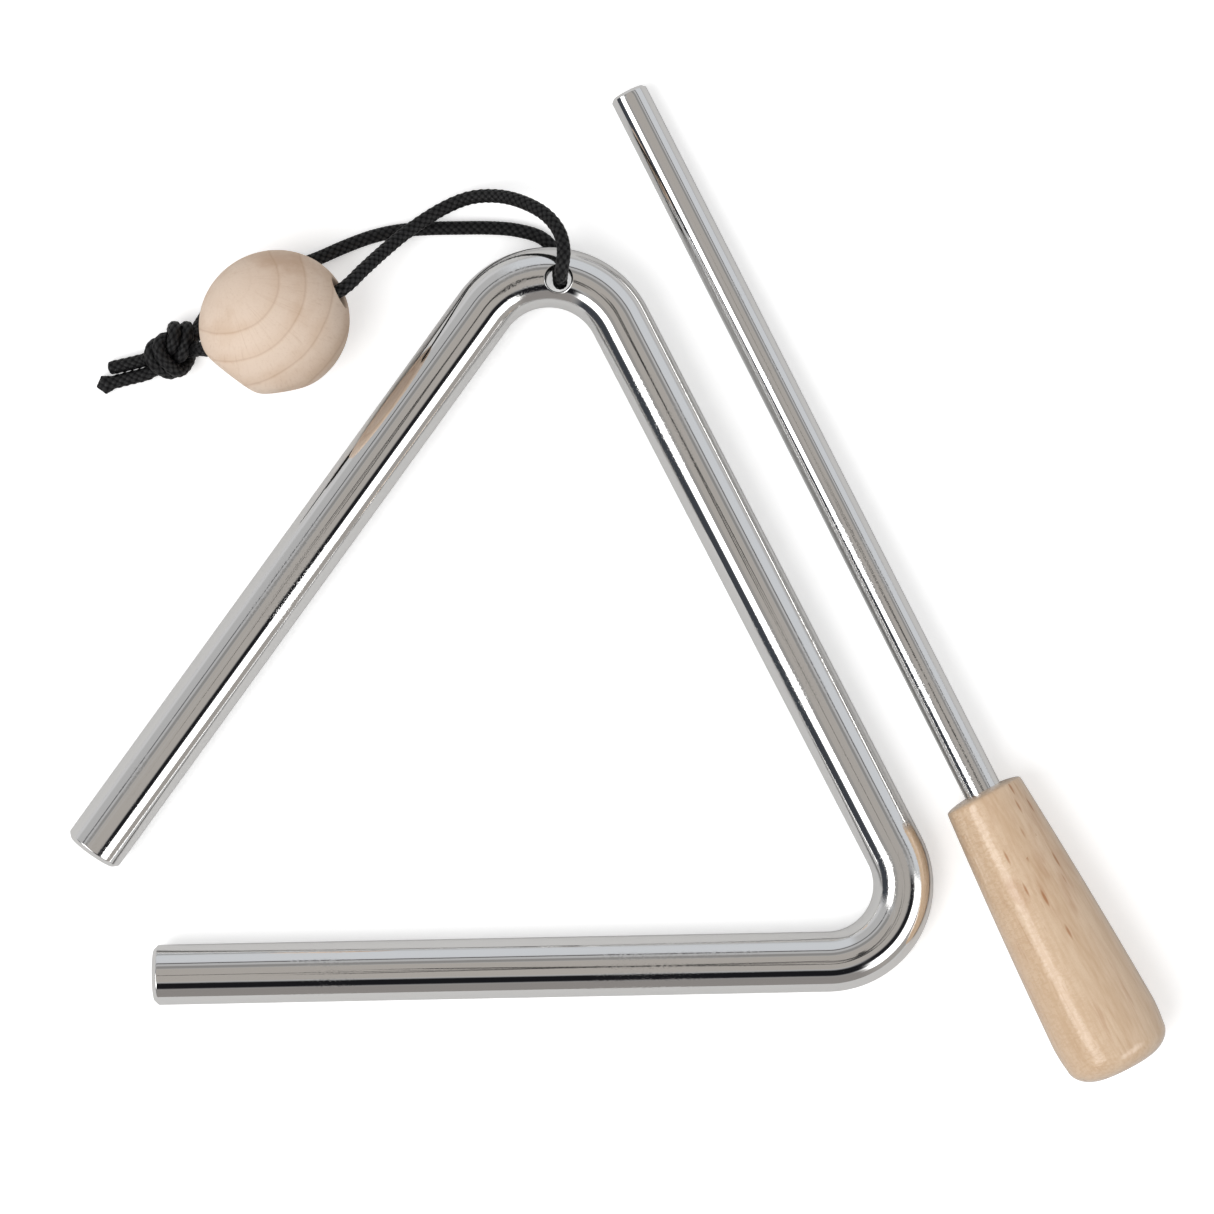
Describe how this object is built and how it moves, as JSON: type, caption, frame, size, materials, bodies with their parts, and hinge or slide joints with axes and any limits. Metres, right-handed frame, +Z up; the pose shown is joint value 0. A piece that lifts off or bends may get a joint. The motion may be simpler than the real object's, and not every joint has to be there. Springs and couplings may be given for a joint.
{
  "type": "triangle instrument",
  "caption": "Bent steel bar open at one corner, on a looped cord with a wooden bead and a knot, lying beside its beater with a tapered wooden handle.",
  "frame": {"origin": "on the table, under the middle of the box round everything but the cord", "axes": "+Z up from the table, +X along the base leg away from the open corner, +Y towards the top bend"},
  "size_m": [0.1454, 0.1326, 0.019],
  "materials": {
    "chrome_steel": "polished",
    "black_cord": "braided, slightly waxed",
    "bare_wood": "sanded, unfinished",
    "varnished_wood": "clear varnish"
  },
  "bodies": {
    "triangle": {"triangle_bar": "chrome_steel"},
    "holder": {"cord_back_strand": "black_cord", "cord_bar_loop": "black_cord", "cord_front_strand": "black_cord", "cord_bore_strand": "black_cord", "cord_knot": "black_cord", "cord_short_tail": "black_cord", "cord_long_tail": "black_cord"},
    "bead": {"holder_bead": "bare_wood"},
    "beater": {"beater_rod": "chrome_steel", "beater_handle": "varnished_wood"}
  },
  "joints": [
    {"name": "holder_swing", "type": "hinge", "parent": "triangle", "child": "holder", "pos_m": [-0.0076, 0.03999, 0.0063], "axis": [0, 0, 1], "range_deg": [-80, 10]},
    {"name": "bead_slide", "type": "slide", "parent": "holder", "child": "bead", "axis": [0.9023, 0.4017, 0.1564], "range_m": [0, 0.008], "deforming": ["cord_front_strand"]},
    {"name": "beater_slide", "type": "slide", "parent": "triangle", "child": "beater", "axis": [0.8924, 0.4513, 0], "range_m": [0, 0.06]}
  ]
}
